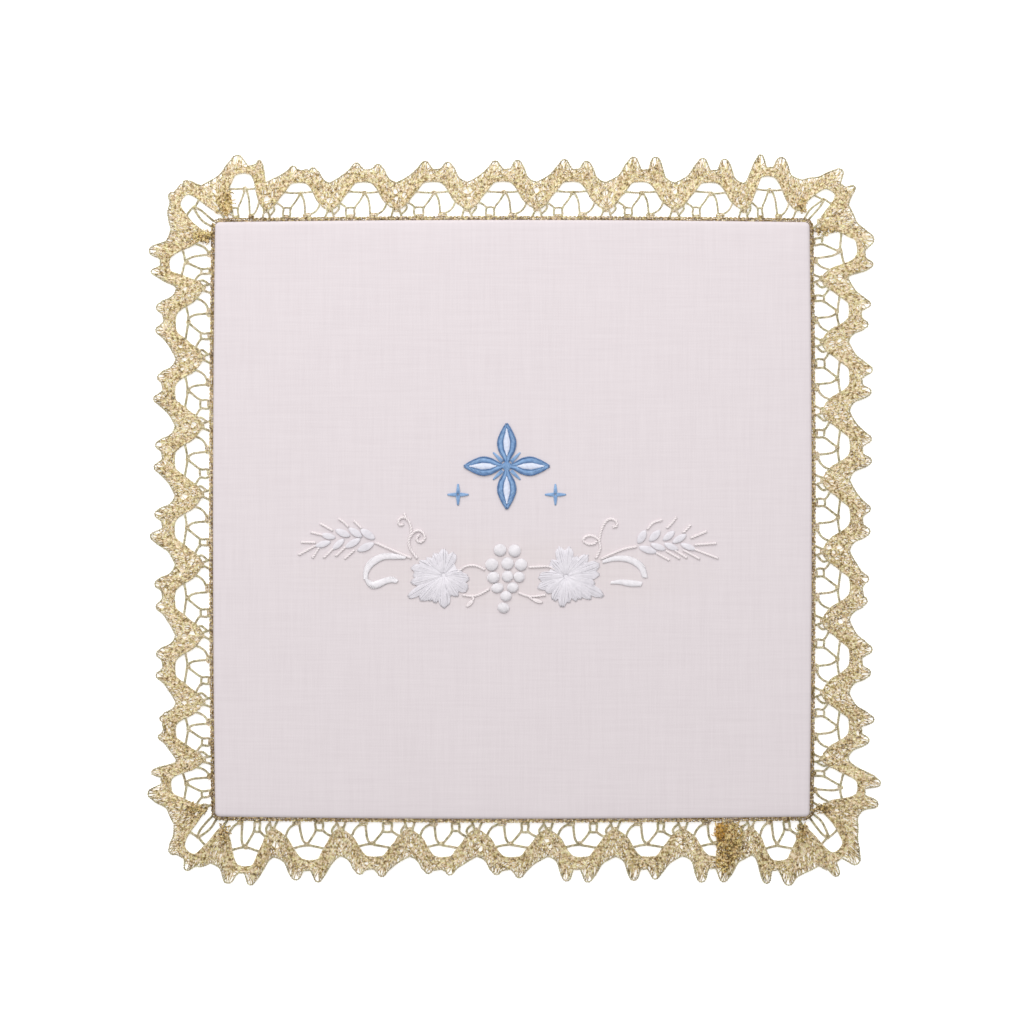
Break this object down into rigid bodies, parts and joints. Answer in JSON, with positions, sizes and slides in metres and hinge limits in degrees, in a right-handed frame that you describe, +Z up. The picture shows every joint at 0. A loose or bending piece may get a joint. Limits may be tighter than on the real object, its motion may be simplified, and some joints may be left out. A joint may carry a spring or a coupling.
{
  "type": "chalice pall",
  "caption": "Stiffened linen square that covers a chalice, edged with scalloped gold bobbin lace and embroidered with a blue cross over grapes, vine leaves and wheat.",
  "frame": {"origin": "middle of the linen square's flat underside", "axes": "+Z up out of the embroidered face, +Y towards the top of the embroidery, +X to its right"},
  "size_m": [0.196, 0.1955, 0.004],
  "materials": {
    "linen": "fine plain-woven linen, stiffened, off-white with a faint lavender cast",
    "gold_lace": "aged gold metal thread with a soft sparkle",
    "white_thread": "glossy white cotton in satin stitch",
    "blue_thread": "mid-blue cotton in stem and satin stitch"
  },
  "bodies": {
    "root": {"linen_square": "linen", "lace_edging": "gold_lace", "cross_motif": "blue_thread", "star_left": "blue_thread", "star_right": "blue_thread", "grape_01": "white_thread", "grape_02": "white_thread", "grape_03": "white_thread", "grape_04": "white_thread", "grape_05": "white_thread", "grape_06": "white_thread", "grape_07": "white_thread", "grape_08": "white_thread", "grape_09": "white_thread", "grape_10": "white_thread", "grape_11": "white_thread", "grape_12": "white_thread", "leaf_left": "white_thread", "leaf_right": "white_thread", "ear_left": "white_thread", "ear_right": "white_thread", "blade_left": "white_thread", "blade_right": "white_thread", "tendril_left": "white_thread", "tendril_right": "white_thread"}
  },
  "joints": []
}
